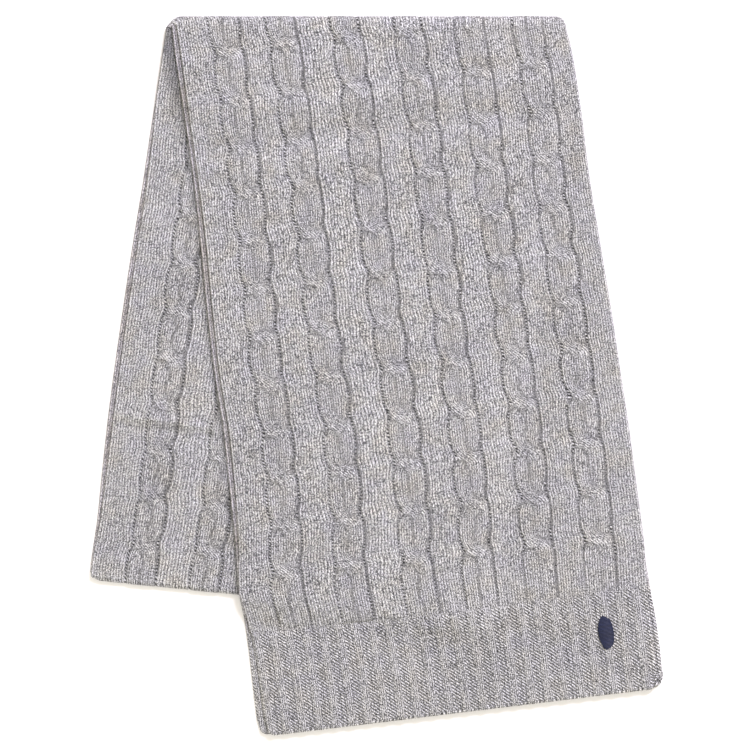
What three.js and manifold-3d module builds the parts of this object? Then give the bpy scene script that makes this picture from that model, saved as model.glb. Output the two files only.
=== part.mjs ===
// A cable knit scarf, doubled end to end and folded over once more, lying flat on its back tail.
// Millimetres. X runs right, Y runs from the rib hem up to the top fold, and Z is up off the floor.
import * as THREE from "three";
import { mergeVertices } from "three/addons/utils/BufferGeometryUtils.js";
import Module from "manifold-3d";

// The knit
const clothThickness = 2.4;
const gap = 0.3; // space between pieces that meet
const cutGap = 0.28; // space cut for a neighbour, a little less so that no cut runs along a face
const layerStep = clothThickness + gap;
const cableRise = 1.3; // a cable's strand over the plain knit
const bandRise = 0.25; // the crown of the plain band between two cables
const ladderDepth = 0.45; // the purl line at each side of a cable
const cableShare = 0.082; // a cable's width as a share of the scarf's
const cablePeriod = 34; // from one crossing to the next
const crossingShare = 0.36; // how much of the period a crossing takes
const strandOffset = 0.5; // strand centres, in half widths of the cable
const strandReach = 0.58; // half a strand's width, in half widths of the cable
const overRise = 0.15; // how much higher the strand on top goes at a crossing
const underSink = 0.7; // and how much lower the strand beneath it goes
const frontCables = [0.121, 0.2735, 0.437, 0.5905, 0.744, 0.893]; // centres across the front
const backCables = [0.127, 0.291]; // centres of the two that show on the back tail
const ribRise = 0.9;
const ribPitch = 12;

// The folded stack
const foldY = 256.6; // the top fold's outermost line
const foldDepth = 8; // how far the top fold bows out past the flat layers
const flatY = foldY - foldDepth;
const tailFoldDepth = 5; // the same at the foot of the back tail
const cornerRadius = 7;
const restHeight = 2 * layerStep; // two layers lie under the front where it crosses the back tail
const dropWidth = 24; // the front comes down from the back tail to the floor over this width
const dropStart = 3; // and starts this far inside the tail's edge
const grooveDepth = 1.5; // how far the groove between two layers' edges goes in
const lowestEdge = 0.5; // the least height of a layer's lower edge off the floor
const edgeDrop = 0.1; // how far a layer's edge reaches down into the space under it
const creaseDepth = 1.1;
const creaseWidth = 9;
const ridgeRise = 0.8;
const ridgeWidth = 3.2;

// The front's edges by height on the layout, and how far the layer below shows at each side
const frontEdges = [
  { y: 257, left: -143.5, right: 132.5, leftShow: 3.0, rightShow: -1.2 },
  { y: 240, left: -140.8, right: 137.2, leftShow: 4.0, rightShow: -1.2 },
  { y: 198, left: -135.1, right: 144.8, leftShow: 3.6, rightShow: -1.2 },
  { y: 142, left: -127.4, right: 151.9, leftShow: 3.2, rightShow: -1.2 },
  { y: 96, left: -121.5, right: 159.4, leftShow: 4.0, rightShow: -1.2 },
  { y: 44, left: -116.5, right: 168.0, leftShow: 3.8, rightShow: -1.2 },
  { y: 0, left: -111.4, right: 174.5, leftShow: 3.6, rightShow: -1.2 },
  { y: -34, left: -105.8, right: 179.7, leftShow: 3.8, rightShow: -1.2 },
  { y: -77, left: -101.0, right: 185.4, leftShow: 4.0, rightShow: -1.2 },
  { y: -121, left: -98.0, right: 191.0, leftShow: 2.4, rightShow: -0.6 },
  { y: -155, left: -97.3, right: 193.4, leftShow: 0.6, rightShow: 2.6 },
  { y: -174, left: -92.0, right: 195.6, leftShow: 2.2, rightShow: 3.8 },
  { y: -196, left: -87.0, right: 198.2, leftShow: 4.0, rightShow: 4.2 },
  { y: -222, left: -83.0, right: 201.4, leftShow: 5.0, rightShow: 3.0 },
  { y: -257, left: -78.3, right: 205.0, leftShow: 5.4, rightShow: 2.6 },
];
// The back tail's edges, and how far its base layer shows left of the layer on it
const tailEdges = [
  { y: 257, left: -149.0, right: 132.9, baseShow: 0.4 },
  { y: 226, left: -153.6, right: 128.7, baseShow: 0.5 },
  { y: 197, left: -157.9, right: 124.7, baseShow: 0.8 },
  { y: 169, left: -162.1, right: 120.8, baseShow: 2.0 },
  { y: 140, left: -166.4, right: 116.7, baseShow: 2.4 },
  { y: 97, left: -173.5, right: 110.8, baseShow: 2.6 },
  { y: 40, left: -182.1, right: 102.8, baseShow: 2.6 },
  { y: -17, left: -190.0, right: 94.9, baseShow: 2.6 },
  { y: -74, left: -196.4, right: 86.9, baseShow: 2.2 },
  { y: -102, left: -199.2, right: 83.0, baseShow: 1.6 },
  { y: -131, left: -203.4, right: 79.0, baseShow: 0.7 },
  { y: -175, left: -206.0, right: 73.0, baseShow: 0.4 },
];

// Lines across the scarf, as heights at its left and right edge
const hemSeam = { left: -182.5, right: -148 };
const hemEnd = { left: -256.6, right: -222.4 };
const tailFold = { left: -145, right: -173 };
const courseTurn = Math.cos(THREE.MathUtils.degToRad(7));
const frontCrossing = 31.8; // the first crossing starts this far above the hem seam
const tailCrossing = 16.6; // and this far above the tail's lower fold
const crease = { x1: -122.2, y1: 171.4, x2: 139.3, y2: 198.5 };
const ridge = { x1: -186.4, y1: -29.6, x2: -115.1, y2: -40.3 };
const tailShown = 0.44; // share of the back tail's width that reaches past the front's edge

const { lerp, clamp, smoothstep, degToRad } = THREE.MathUtils;
const wasm = await Module();
wasm.setup();

// A column of a table at height y, on a smooth curve through its rows
function edgeAt(table, column, y) {
  let i = 0;
  while (i < table.length - 2 && table[i + 1].y > y) i++;
  const value = (k) => table[clamp(k, 0, table.length - 1)][column];
  const height = (k) => table[clamp(k, 0, table.length - 1)].y;
  const span = height(i + 1) - height(i);
  const t = clamp((y - height(i)) / span, 0, 1);
  const slope = (k) => (value(k + 1) - value(k - 1)) / (height(k + 1) - height(k - 1));
  const [a, b] = [value(i), value(i + 1)];
  const [m, n] = [slope(i) * span, slope(i + 1) * span];
  return a + t * (m + t * (3 * (b - a) - 2 * m - n + t * (2 * (a - b) + m + n)));
}

function lineDistance(line, x, y) {
  const [dx, dy] = [line.x2 - line.x1, line.y2 - line.y1];
  return ((x - line.x1) * dy - (y - line.y1) * dx) / Math.hypot(dx, dy);
}

// 1 where the front lies on the back tail, falling to 0 where it lies on the floor
const tailCorner = { x: edgeAt(tailEdges, "right", tailFold.right), y: tailFold.right };
const tailHeel = { x: edgeAt(tailEdges, "left", tailFold.left), y: tailFold.left };
const tailSide = { x1: tailEdges[0].right, y1: tailEdges[0].y, x2: tailCorner.x, y2: tailCorner.y };
const tailFoot = { x1: tailHeel.x, y1: tailHeel.y, x2: tailCorner.x, y2: tailCorner.y };
function support(x, y) {
  const side = lineDistance(tailSide, x, y);
  const foot = -lineDistance(tailFoot, x, y);
  const past = Math.hypot(Math.min(side, 0), Math.min(foot, 0));
  const inside = past > 0 ? -past : Math.min(side, foot);
  return smoothstep(inside, dropStart - dropWidth, dropStart);
}

const dent = (line, width, x, y) => Math.exp(-((lineDistance(line, x, y) / width) ** 2));

// Underside of the front's two layers over the floor
const frontGround = (x, y) => restHeight * support(x, y);
const creaseSink = (x, y) => creaseDepth * dent(crease, creaseWidth, x, y);
const underTop = (x, y) => frontGround(x, y) + layerStep - creaseSink(x, y);

// A cable's height at a, from -1 at its left purl line to 1 at its right one, and phase p
function cableHeight(a, p) {
  if (Math.abs(a) >= 1) return -ladderDepth;
  const q = clamp(p / crossingShare, 0, 1);
  const sway = 2 * strandOffset * smoothstep(q, 0, 1) - strandOffset;
  const bow = Math.sin(Math.PI * q);
  const round = (centre) => Math.sqrt(Math.max(0, 1 - ((a - centre) / strandReach) ** 2));
  return cableRise * Math.max((1 + overRise * bow) * round(-sway), (1 - underSink * bow) * round(sway));
}

const onCable = 1.001; // a purl line still belongs to its cable

// Height over the plain knit of a cabled stretch, at share u of the width and distance s along it
function cabledRelief(centres, u, s, firstCrossing) {
  const phase = (s - firstCrossing) / cablePeriod;
  const across = centres.map((centre) => (u - centre) / (cableShare / 2));
  const a = across.find((place) => Math.abs(place) <= onCable);
  return a === undefined ? bandRise : cableHeight(clamp(a, -1, 1), phase - Math.floor(phase));
}

// Places across a cabled stretch: the purl lines, four places on each cable and each band's middle
const cableSteps = [-1, -0.8, -0.45, 0, 0.45, 0.8, 1];
function cabledShares(centres, last) {
  const shares = [];
  let before = 0;
  for (const centre of centres) {
    shares.push((before + centre - cableShare / 2) / 2);
    for (const step of cableSteps) shares.push(centre + (step * cableShare) / 2);
    before = centre + cableShare / 2;
  }
  shares.push((before + last) / 2);
  return shares.map((share) => ({ share }));
}

// Heights along a cabled stretch that fall on the same places of every crossing
const crossingSteps = [0, 0.18, 0.36, 0.68];
const nearestRow = 2; // the least distance from a row to the end of its stretch
function cabledHeights(firstCrossing, last) {
  const heights = [];
  for (let start = firstCrossing - cablePeriod; start < last; start += cablePeriod) {
    for (const step of crossingSteps) heights.push(start + step * cablePeriod);
  }
  return heights.filter((s) => s > nearestRow && s < last);
}

// A layer's places across: five at each side round its edge, from the floor up, then those given
// Rise 0 is the floor, 1 the layer's underside, 2 its middle, 3 its shoulder and 4 its top
const edgeSteps = [
  { inset: grooveDepth, rise: 0 },
  { inset: grooveDepth, rise: 1 },
  { inset: 0, rise: 2 },
  { inset: 0.7, rise: 3 },
  { inset: 2.2, rise: 4 },
];
function columnsOf(inner, cutRight = false) {
  const left = edgeSteps.map((step) => ({ ...step, side: "left" }));
  const right = edgeSteps.map((step) => ({ ...step, side: "right" })).reverse();
  const cut = [{ share: tailShown, rise: 4 }, { share: tailShown, rise: 0 }];
  return [...left, ...inner.map((place) => ({ ...place, rise: 4 })), ...(cutRight ? cut : right)];
}

const risePlace = [0, 0.7, 0.88, 0.97, 1]; // how far out of a fold's centre each rise lies

// How far a corner's rounding pulls the end in at a distance from the side
function cornerPull(fromSide) {
  const bare = clamp(cornerRadius - fromSide, 0, cornerRadius);
  return cornerRadius - Math.sqrt(cornerRadius ** 2 - bare ** 2);
}

// Where two edges cross, the lower of the two rises sets how far in both of them lie
const insetAt = (place, other) =>
  Math.max(place.inset, other.rise < place.rise ? edgeSteps[other.rise].inset : 0);

// A place on a layer's outer face
function layerPoint(layer, given, place) {
  const col = place.inset === undefined ? place : { ...place, inset: insetAt(place, given) };
  const row = { ...given };
  if (given.inset !== undefined) {
    row.left += insetAt(given, place);
    row.right += insetAt(given, place);
  }
  const grow = layer.grow ?? 0;
  const spine = layer.spine ?? layer;
  const turned = row.turn ?? 0;
  const turn = row.bend === undefined ? turned : (1 - Math.sin(row.bend)) / 2;
  const leftBelow = (layer.leftBelow ?? layer.left)(row.left) - grow;
  const xLeft = lerp(layer.left(row.left) - grow, leftBelow, turn);
  const xRight = layer.right(row.right) + grow;
  const width = xRight - xLeft;
  const fromLeft = col.part === undefined ? col.inset : groundX(row, col.part) - xLeft;
  const measured = col.share ?? fromLeft / width;
  const u = col.side === "right" ? 1 - measured : measured;
  const x = lerp(xLeft, xRight, u);
  const [spineLeft, spineRight] = [spine.left(row.left), spine.right(row.right)];
  const flat = lerp(row.left, row.right, (x - spineLeft) / (spineRight - spineLeft));
  const fromSide = Math.min(u, layer.rightCorner === false ? u : 1 - u) * width;
  const pull = cornerPull(fromSide);
  const top = layer.top(x, flat) + grow;
  const relief = layer.relief ? layer.relief(u, flat, x) : 0;
  if (row.bend !== undefined) {
    const [along, over] = [Math.cos(row.bend), Math.sin(row.bend)];
    const out = (row.depth + grow - Math.min(pull, row.mostPull) + relief) * along;
    const up = row.low + ((top - row.low) / 2) * (1 + over) + relief * Math.max(0, over);
    const far = risePlace[col.rise];
    const centreInset = Math.max(col.inset ?? u * (xRight - leftBelow), grooveDepth);
    const centreX = col.side === "right" ? xRight - centreInset : leftBelow + centreInset;
    const round = Math.min(1, Math.hypot(out, up) / clothThickness);
    const y = flat + row.toward * ((row.back + out) * far - row.back);
    return [lerp(centreX, x, far * round), y, up * far];
  }
  const y = flat + (row.pull ?? 0) * pull;
  const rise = Math.min(row.rise, col.rise);
  const low = Math.max(layer.under(x, flat) - edgeDrop - grow, lowestEdge);
  const z = [0, low, (low + top) / 2, top - clothThickness / 4, top + relief][rise];
  return [x, y, z];
}

const mergeDistance = 0.001;

// A closed solid whose outer face is a grid with its rim on the floor
function closedSheet(rows, cols, pointAt) {
  const points = rows.map((row) => cols.map((col) => pointAt(row, col)));
  const faces = [];
  for (let r = 0; r + 1 < rows.length; r++) {
    for (let c = 0; c + 1 < cols.length; c++) {
      const [a, b, d, e] = [points[r][c], points[r + 1][c], points[r + 1][c + 1], points[r][c + 1]];
      faces.push(a, b, d, a, d, e);
    }
  }
  const same = (p, q) => Math.hypot(p[0] - q[0], p[1] - q[1]) < mergeDistance;
  const end = rows.length - 1;
  const chain = [0];
  for (let r = 1; r < end; r++) {
    const repeated = same(points[r][0], points[chain.at(-1)][0]) || same(points[r][0], points[end][0]);
    if (!repeated) chain.push(r);
  }
  chain.push(end);
  const rim = (r) => [points[r][0], points[r].at(-1)];
  const [first, last] = [rim(chain[1]), rim(chain.at(-2))];
  for (let c = 0; c + 1 < cols.length; c++) {
    faces.push(first[0], points[0][c], points[0][c + 1]);
    faces.push(last[0], points[end][c + 1], points[end][c]);
  }
  faces.push(first[0], points[0].at(-1), first[1]);
  faces.push(last[0], last[1], points[end].at(-1));
  for (let k = 1; k + 2 < chain.length; k++) {
    const [[a, b], [d, e]] = [rim(chain[k]), rim(chain[k + 1])];
    faces.push(a, b, e, a, e, d);
  }
  const geometry = new THREE.BufferGeometry();
  geometry.setAttribute("position", new THREE.Float32BufferAttribute(faces.flat(), 3));
  return solidOf(geometry);
}

function solidOf(geometry) {
  const merged = mergeVertices(geometry, mergeDistance);
  const corners = merged.index.array;
  const kept = [];
  for (let i = 0; i < corners.length; i += 3) {
    const face = [...corners.slice(i, i + 3)];
    if (new Set(face).size === 3) kept.push(...face);
  }
  const triVerts = new Uint32Array(kept);
  const vertProperties = merged.attributes.position.array;
  return new wasm.Manifold(new wasm.Mesh({ numProp: 3, vertProperties, triVerts }));
}

// Rows round the top fold, from the floor up to the flat of the layer
const foldAngles = [-90, -60, -30, 0, 30, 60, 90];
const topFoldPull = 4.6; // the most that a corner pulls the top fold in
function topFoldRows(depth, low, back) {
  const flat = { left: flatY, right: flatY };
  const fold = { ...flat, depth, low, back, toward: 1, mostPull: topFoldPull };
  const bends = foldAngles.map((angle) => ({ ...fold, bend: degToRad(angle) }));
  return [{ left: flatY - back, right: flatY - back, rise: 0, turn: 1 }, ...bends];
}

// A line across the front, at distance s up from the hem seam
const levelOf = (line, s) => ({ left: line.left + s * courseTurn, right: line.right + s * courseTurn });
const frontLevel = (s) => levelOf(hemSeam, s);

// Rows that swing round from the fold to run along the courses
const frontTurn = 382;
const swingSteps = 7;
function swingRows() {
  const swing = frontLevel(frontTurn);
  const rows = [];
  for (let i = 1; i < swingSteps; i++) {
    const left = lerp(flatY, swing.left, i / swingSteps);
    const right = lerp(flatY, swing.right, i / swingSteps);
    rows.push({ left, right, rise: 4 });
  }
  return rows;
}

// Distances along at which the ground under the front is followed, closer where it dips
const groundZones = [
  { high: 380, low: 326, step: 6 },
  { high: 326, low: 32, step: 42 },
  { high: 32, low: -34, step: 6 },
  { high: -34, low: -72, step: 19 },
];
function groundHeights(high, low) {
  const heights = [];
  for (const zone of groundZones) {
    for (let s = zone.high; s > zone.low; s -= zone.step) heights.push(s);
  }
  return heights.filter((s) => s <= high && s > low);
}

// Rows down the front from the fold to the hem seam
function bodyRows(heights, grow = 0) {
  const seam = frontLevel(gap / 2 - grow);
  const rows = heights.map((s) => ({ ...frontLevel(s), rise: 4 }));
  return [...swingRows(), ...rows, { ...seam, rise: 4 }, { ...seam, rise: 0 }];
}

// Rows down a hem to its rounded end
const hemGroundEnd = -56; // the last height at which the ground is followed
const hemTurn = -64; // and the row from which the corners start to round
const hemTurnPull = 0.4;
function hemRows(end, grow = 0) {
  const seam = frontLevel(grow - gap / 2);
  const ground = groundHeights(-1, hemGroundEnd).map((s) => ({ ...frontLevel(s), rise: 4 }));
  const turn = { ...frontLevel(hemTurn), rise: 4, pull: hemTurnPull };
  const edge = { left: end.left - grow, right: end.right - grow };
  const round = [...edgeSteps].reverse().map((step) => ({ ...edge, ...step, pull: 1 }));
  return [{ ...seam, rise: 0 }, { ...seam, rise: 4 }, ...ground, turn, ...round];
}

// X of a place across the ground, whose parts 1 to 2 follow the edge of the tail beneath
const partPast = 2; // how far part 2 lies past the foot of the drop
const partMargins = [14, 8]; // the least distances of parts 1 and 2 from the right edge
function groundX(row, part) {
  const [xLeft, xRight] = [topLayer.left(row.left), topLayer.right(row.right)];
  const height = (row.left + row.right) / 2;
  const edge = lerp(tailSide.x1, tailSide.x2, (tailSide.y1 - height) / (tailSide.y1 - tailSide.y2));
  const high = Math.min(edge - dropStart, xRight - partMargins[0]);
  const low = Math.min(edge - dropStart + dropWidth + partPast, xRight - partMargins[1]);
  const across = [xLeft, high, low, xRight];
  const from = Math.min(Math.floor(part), 2);
  return lerp(across[from], across[from + 1], part - from);
}
const groundParts = [0.04, 0.25, 0.5, 0.75, 1, 1.15, 1.3, 1.45, 1.6, 1.75, 1.9, 2, 2.5];

const alongFront = (u, y) => (y - lerp(hemSeam.left, hemSeam.right, u)) / courseTurn;
const alongTail = (u, y) => (y - lerp(tailFold.left, tailFold.right, u) - tailFoldDepth) / courseTurn;

const topLayer = {
  left: (y) => edgeAt(frontEdges, "left", y),
  leftBelow: (y) => edgeAt(tailEdges, "left", y),
  right: (y) => edgeAt(frontEdges, "right", y),
  under: underTop,
  top: (x, y) => underTop(x, y) + clothThickness,
  relief: (u, y) => cabledRelief(frontCables, u, alongFront(u, y), frontCrossing),
};
const lowerLayer = {
  spine: topLayer,
  left: (y) => topLayer.left(y) - edgeAt(frontEdges, "leftShow", y),
  leftBelow: topLayer.leftBelow,
  right: (y) => topLayer.right(y) + edgeAt(frontEdges, "rightShow", y),
  under: frontGround,
  top: (x, y) => underTop(x, y) - gap,
};

// Ribs are even in width across the hem
const ribCount = Math.round((topLayer.right(hemSeam.right) - topLayer.left(hemSeam.left)) / ribPitch);
const ribSteps = [0, 0.28, 0.72]; // the furrow and the rib's two shoulders
const ribShares = [];
for (let rib = 0; rib < ribCount; rib++) {
  for (const step of ribSteps) {
    if (rib + step > 0) ribShares.push({ share: (rib + step) / ribCount });
  }
}
function ribRelief(u) {
  const step = u * ribCount - Math.floor(u * ribCount);
  return step > ribSteps[1] / 2 && step < (1 + ribSteps[2]) / 2 ? ribRise : 0;
}

// All the space under the top layer, wider than the front on every side
const beyond = 24;
const belowFloor = -1;
function spaceUnderTop() {
  const foot = { left: hemEnd.left - beyond, right: hemEnd.right - beyond };
  const flat = { left: flatY, right: flatY };
  const fold = foldAngles.map((angle) => ({ ...flat, bend: degToRad(angle) }));
  const ground = groundHeights(frontTurn, hemGroundEnd).map(frontLevel);
  const rows = [{ ...flat, floor: true }, ...fold, ...swingRows(), ...ground, foot, { ...foot, floor: true }];
  const inner = groundParts.map((part) => ({ part }));
  const cols = [{ far: -beyond, floor: true }, { far: -beyond }, ...inner, { far: beyond }];
  cols.push({ far: beyond, floor: true });
  return closedSheet(rows, cols, (row, col) => {
    const [xLeft, xRight] = [topLayer.left(row.left), topLayer.right(row.right)];
    const side = col.far < 0 ? xLeft : xRight;
    const x = col.part === undefined ? side + col.far : groundX(row, col.part);
    const y = lerp(row.left, row.right, (x - xLeft) / (xRight - xLeft));
    if (row.floor || col.floor) return [x, y, belowFloor];
    if (row.bend === undefined) return [x, y, underTop(x, y)];
    const half = (underTop(x, y) - clothThickness) / 2;
    const pull = Math.min(cornerPull(Math.min(x - xLeft, xRight - x)), topFoldPull);
    const out = (foldDepth - clothThickness - pull) * Math.cos(row.bend);
    return [x, y + out, clothThickness + half * (1 + Math.sin(row.bend))];
  });
}

const underTopLayer = spaceUnderTop();
const layerSolid = (layer, rows, cols) => closedSheet(rows, cols, (row, col) => layerPoint(layer, row, col));
const cabledRows = bodyRows(cabledHeights(frontCrossing, frontTurn + 1).reverse());
const frontRows = [...topFoldRows(foldDepth, 0, 0), ...cabledRows];
const frontColumns = columnsOf(cabledShares(frontCables, 1));
const frontPanel = layerSolid(topLayer, frontRows, frontColumns).subtract(underTopLayer);
const ribbedLayer = { ...topLayer, relief: ribRelief };
const frontHem = layerSolid(ribbedLayer, hemRows(hemEnd), columnsOf(ribShares)).subtract(underTopLayer);

// The layers under the top one are filled down to the floor
const groundColumns = columnsOf(groundParts.map((part) => ({ part })));
const lowerHemShort = { left: 1.2, right: 0.8 }; // how far the lower hem ends above the upper one
const lowerHemEnd = { left: hemEnd.left + lowerHemShort.left, right: hemEnd.right + lowerHemShort.right };
const lowerHem = (grow) => layerSolid({ ...lowerLayer, grow }, hemRows(lowerHemEnd, grow), groundColumns);
const lowerFoldDepth = foldDepth - clothThickness - gap;
function lowerFront(grow) {
  const body = bodyRows(groundHeights(frontTurn, nearestRow), grow);
  const rows = [...topFoldRows(lowerFoldDepth, layerStep, gap), ...body];
  return layerSolid({ ...lowerLayer, grow }, rows, groundColumns);
}
const underHem = lowerHem(0);

// The back tail: the base layer, and the layer on it that shows
const tailTop = flatY - 0.5;
const tailFlat = { left: tailFold.left + tailFoldDepth, right: tailFold.right + tailFoldDepth };
const tailSpine = { left: (y) => edgeAt(tailEdges, "left", y), right: (y) => edgeAt(tailEdges, "right", y) };
const baseShare = 0.5; // the base ends under the front, at this share of the tail's width
const baseLayer = {
  spine: tailSpine,
  left: tailSpine.left,
  right: (y) => lerp(tailSpine.left(y), tailSpine.right(y), baseShare),
  under: () => 0,
  top: () => clothThickness,
};
const tailLayer = {
  spine: tailSpine,
  left: (y) => tailSpine.left(y) + edgeAt(tailEdges, "baseShow", y),
  right: tailSpine.right,
  rightCorner: false,
  under: () => layerStep,
  top: () => layerStep + clothThickness,
  relief: (u, y, x) =>
    cabledRelief(backCables, u, alongTail(u, y), tailCrossing) + ridgeRise * dent(ridge, ridgeWidth, x, y),
};
const baseRowCount = 16;
function baseRows() {
  const end = { left: tailFlat.left + gap, right: tailFlat.right + gap };
  const rows = [{ left: tailTop, right: tailTop, rise: 0 }];
  for (let i = 0; i <= baseRowCount; i++) {
    const left = lerp(tailTop, end.left, i / baseRowCount);
    const right = lerp(tailTop, end.right, i / baseRowCount);
    rows.push({ left, right, rise: 4 });
  }
  rows.push({ ...end, rise: 0 });
  return rows;
}
const tailFoldPull = 1.5; // the most that a corner pulls the tail's fold in
function tailRows() {
  const top = { left: tailTop, right: tailTop };
  const highest = tailTop - cornerRadius / 2;
  const heights = cabledHeights(tailCrossing, tailTop - tailFlat.left).reverse();
  const levels = heights.map((s) => levelOf(tailFlat, s)).filter((level) => level.left < highest);
  const flat = levels.map(({ left, right }) => ({ left, right: Math.min(right, highest), rise: 4 }));
  const fold = { ...tailFlat, depth: tailFoldDepth, low: 0, back: 0, toward: -1, mostPull: tailFoldPull };
  const bends = foldAngles.map((angle) => ({ ...fold, bend: degToRad(-angle) }));
  return [{ ...top, rise: 0 }, { ...top, rise: 4 }, ...flat, ...bends];
}

// The space inside the tail's lower fold, where the base layer lies
const tailFoldHollow = 1;
const hollowAngles = [45, 0, -45, -90];
function spaceUnderTail() {
  const [xLeft, xRight] = [tailEdges.at(-1).left - beyond, 0];
  const cols = [{ x: xLeft, floor: true }, { x: xLeft }, { x: xRight }, { x: xRight, floor: true }];
  const top = { left: foldY, right: foldY };
  const bends = hollowAngles.map((angle) => ({ ...tailFlat, bend: degToRad(angle) }));
  const flat = [{ ...top, floor: true }, top, { left: 0, right: 0 }, tailFlat];
  const rows = [...flat, ...bends, { ...tailFlat, floor: true }];
  return closedSheet(rows, cols, ({ left, right, bend, floor }, col) => {
    const [from, to] = [tailSpine.left(left), tailSpine.right(right)];
    const y = lerp(left, right, (col.x - from) / (to - from));
    if (floor || col.floor) return [col.x, y, belowFloor];
    if (bend === undefined) return [col.x, y, layerStep];
    const z = clothThickness + (gap / 2) * (1 + Math.sin(bend));
    return [col.x, y - tailFoldHollow * Math.cos(bend), z];
  });
}

const baseShares = [0.1, 0.3, 0.5];
const base = layerSolid(baseLayer, baseRows(), columnsOf(baseShares.map((share) => ({ share }))));
const innerLayers = lowerFront(0).add(base);
const tailColumns = columnsOf(cabledShares(backCables, tailShown), true);
const backPanel = layerSolid(tailLayer, tailRows(), tailColumns)
  .subtract(spaceUnderTail())
  .subtract(lowerFront(gap))
  .subtract(lowerHem(cutGap));

function meshOf(name, solid, colour) {
  const { vertProperties, triVerts } = solid.getMesh();
  const geometry = new THREE.BufferGeometry();
  geometry.setAttribute("position", new THREE.BufferAttribute(vertProperties, 3));
  geometry.setIndex(new THREE.BufferAttribute(triVerts, 1));
  geometry.computeVertexNormals();
  const material = new THREE.MeshStandardMaterial({ color: colour, roughness: 0.95, metalness: 0 });
  const mesh = new THREE.Mesh(geometry, material);
  mesh.name = name;
  return mesh;
}

const heatherGrey = 0xafadaf;
const shadeGrey = 0x9c989a;
const scarf = new THREE.Group();
scarf.add(meshOf("front_panel", frontPanel, heatherGrey));
scarf.add(meshOf("front_hem", frontHem, heatherGrey));
scarf.add(meshOf("under_hem", underHem, shadeGrey));
scarf.add(meshOf("back_panel", backPanel, heatherGrey));
scarf.add(meshOf("inner_layers", innerLayers, shadeGrey));
const middle = new THREE.Box3().setFromObject(scarf).getCenter(new THREE.Vector3());
scarf.position.set(-middle.x, -middle.y, 0);

export default scarf;
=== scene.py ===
# A cable knit scarf, doubled and folded over, lying flat: its knit, light, floor and camera.
import math
import bpy
import numpy as np
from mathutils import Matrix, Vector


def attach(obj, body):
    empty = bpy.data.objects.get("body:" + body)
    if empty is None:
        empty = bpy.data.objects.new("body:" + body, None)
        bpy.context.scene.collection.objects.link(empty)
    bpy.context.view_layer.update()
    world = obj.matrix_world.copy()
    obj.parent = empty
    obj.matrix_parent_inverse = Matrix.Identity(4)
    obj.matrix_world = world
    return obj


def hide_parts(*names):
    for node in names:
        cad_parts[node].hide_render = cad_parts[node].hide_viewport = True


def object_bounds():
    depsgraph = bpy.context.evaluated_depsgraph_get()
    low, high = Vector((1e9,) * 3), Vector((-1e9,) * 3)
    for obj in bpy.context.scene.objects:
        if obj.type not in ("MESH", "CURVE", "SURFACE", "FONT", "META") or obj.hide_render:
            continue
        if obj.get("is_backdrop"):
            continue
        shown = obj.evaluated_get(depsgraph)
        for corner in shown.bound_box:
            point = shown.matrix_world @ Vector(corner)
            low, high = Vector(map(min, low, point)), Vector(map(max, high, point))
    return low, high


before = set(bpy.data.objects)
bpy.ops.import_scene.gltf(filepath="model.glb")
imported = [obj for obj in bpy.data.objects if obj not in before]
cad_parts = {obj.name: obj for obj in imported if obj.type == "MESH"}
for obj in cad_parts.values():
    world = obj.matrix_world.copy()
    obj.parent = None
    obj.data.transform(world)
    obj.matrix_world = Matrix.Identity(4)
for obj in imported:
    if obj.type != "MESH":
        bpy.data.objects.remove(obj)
cadBounds = [list(corner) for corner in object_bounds()]
print("model loaded")

mm = 0.001
layoutShift = (-0.131, -1.219)  # mm, from the layout the tables are drawn on to the model's frame

# The cloth, in millimetres
cloth = {
    "thickness": 2.4,
    "gap": 0.3,
    "edgeRound": 1.8,  # how far in from the edge the top is reached
    "rimMargin": 2.2,  # where the even grid stops short of a rounded edge
    "tuck": 4,  # how far the rim goes on under the edge
    "sharpAngle": 72,  # degrees between faces from which an edge isn't smoothed
    "course": 2.43,  # height of a row of stitches
    "bandWales": [6, 5, 5, 5, 5, 5, 5],  # columns of stitches in each plain band
    "strandWales": 3,
    "plainWales": 76,  # columns of stitches across a plain layer
    "cornerRadius": 7,
    "foldRelief": 0.35,  # how much of the relief is left round a fold
}
cable = {
    "width": 0.0755,  # share of the scarf's width
    "period": 34,
    "crossing": 0.36,  # share of the period
    "base": 0.15,
    "rise": 1.1,
    "over": 0.15,
    "under": 0.3,
    "underRight": 0.6,
    "uneven": 0.03,  # how far a link's crossing comes early or late, as a share of the period
    "hook": 0.1,  # phase of the hook's top
    "dive": 0.13,  # share of the period in which a strand dives under
    # How far the left and right sides come in, in half widths, and at which phase
    "frontWaists": [(0.31, 0.2), (0.19, 0.36)],
    "tailWaists": [(0.28, 0.2), (0.3, 0.26)],
    "waistLength": 0.18,  # share of the period
    "ladder": 0.13,  # width of the purl line, in half widths of the cable
    "fan": 0.3,  # how much wider it gets where a side comes in
    "ladderDepth": 0.7,
    "spreadLength": 400,  # distance above the seam over which the centres go from hem to top
    "seamFade": 6,  # distance above the seam over which the relief rises
    "topCentres": [0.121, 0.2685, 0.4326, 0.5916, 0.748, 0.898],
    "hemCentres": [0.117, 0.2747, 0.438, 0.587, 0.738, 0.887],
    "tailCentres": [0.127, 0.291, 0.452, 0.608, 0.762, 0.905],
    "frontStart": (33.1, 30.5),  # the first crossing above the hem seam, at the left and right edge
    "tailStart": 16.6,
}
rib = {
    "count": 24,
    "rise": 1.15,
    "split": 0.12,  # depth of the line between a rib's two knit columns, as a share of its rise
    "points": 9,  # across each rib and its purl columns
    "seamFade": 3,
}
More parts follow.
